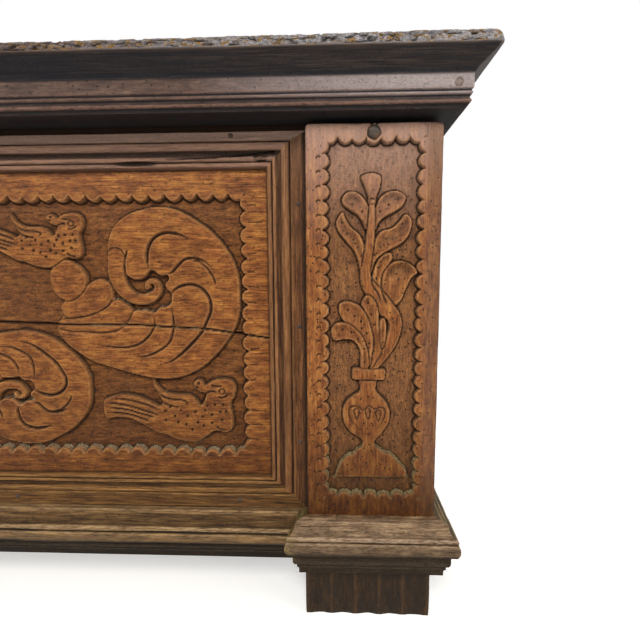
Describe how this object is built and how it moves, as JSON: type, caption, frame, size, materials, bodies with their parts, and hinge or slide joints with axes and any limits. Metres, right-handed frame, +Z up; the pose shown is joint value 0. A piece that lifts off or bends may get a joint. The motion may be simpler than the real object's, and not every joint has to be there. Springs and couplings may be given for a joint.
{
  "type": "cassone chest",
  "caption": "Carved walnut storage chest with pilasters, a scrollwork front, moulded base on block feet, and a hinged lid that opens upward and is locked by a key-driven bolt.",
  "frame": {"origin": "on the floor, under the middle of the chest's overall box", "axes": "+X to the right as one faces the carved front, +Y to the plain back, +Z up"},
  "size_m": [1.5862, 0.5606, 0.6],
  "materials": {
    "carved_walnut": "waxed, worn walnut with dark grime in the ground of the carving",
    "frame_walnut": "dry, dulled walnut moulding",
    "base_walnut": "dusty olive-brown walnut moulding",
    "end_walnut": "waxed walnut plank",
    "foot_walnut": "dark unwaxed walnut block",
    "lid_walnut": "worn, wormed grey-brown walnut",
    "poplar": "bare oxidised poplar plank",
    "walnut_peg": "end grain of a wooden peg",
    "forged_iron": "hand-forged wrought iron with a dark oxide skin"
  },
  "bodies": {
    "chest": {"front_board": "carved_walnut", "back_board": "poplar", "end_board_left": "end_walnut", "end_board_right": "end_walnut", "bottom_board_front": "poplar", "bottom_board_back": "poplar", "pilaster_left": "carved_walnut", "pilaster_right": "carved_walnut", "pilaster_studs": "forged_iron", "panel_moulding_top": "frame_walnut", "panel_moulding_bottom": "frame_walnut", "panel_moulding_left": "frame_walnut", "panel_moulding_right": "frame_walnut", "frame_brads": "forged_iron", "base_moulding_front": "base_walnut", "base_break_left": "base_walnut", "base_break_right": "base_walnut", "base_return_left": "base_walnut", "base_return_right": "base_walnut", "base_moulding_end_left": "base_walnut", "base_moulding_end_right": "base_walnut", "foot_front_left": "foot_walnut", "foot_front_right": "foot_walnut", "foot_back_left": "foot_walnut", "foot_back_right": "foot_walnut", "hinge_back_strap_left": "forged_iron", "hinge_back_strap_right": "forged_iron", "hinge_pin_left": "forged_iron", "hinge_pin_right": "forged_iron", "hinge_back_nails": "forged_iron", "escutcheon": "forged_iron", "escutcheon_pins": "forged_iron", "lock_plate": "forged_iron", "lock_nails": "forged_iron", "bolt_guides": "forged_iron"},
    "lid": {"lid_board_front": "lid_walnut", "lid_board_back": "lid_walnut", "lid_moulding_front": "lid_walnut", "lid_moulding_end_left": "lid_walnut", "lid_moulding_end_right": "lid_walnut", "lid_batten_left": "poplar", "lid_batten_right": "poplar", "hinge_lid_strap_left": "forged_iron", "hinge_lid_strap_right": "forged_iron", "hinge_lid_nails": "forged_iron", "lid_staple": "forged_iron", "staple_nails": "forged_iron", "batten_nails": "forged_iron", "lid_pegs": "walnut_peg"},
    "lock_bolt": {"lock_bolt": "forged_iron"},
    "key": {"key": "forged_iron"}
  },
  "joints": [
    {"name": "lid_hinge", "type": "hinge", "parent": "chest", "child": "lid", "pos_m": [0, 0.274, 0.5687], "axis": [-1, 0, 0], "range_deg": [0, 100]},
    {"name": "key_turn", "type": "hinge", "parent": "chest", "child": "key", "pos_m": [0, -0.2133, 0.474], "axis": [0, 1, 0], "range_deg": [0, 180]},
    {"name": "bolt_slide", "type": "slide", "parent": "chest", "child": "lock_bolt", "axis": [1, 0, 0], "range_m": [0, 0.02]}
  ],
  "couplings": [
    {"joint": "key_turn", "follows": "bolt_slide", "rad_per_m": 157.08}
  ]
}
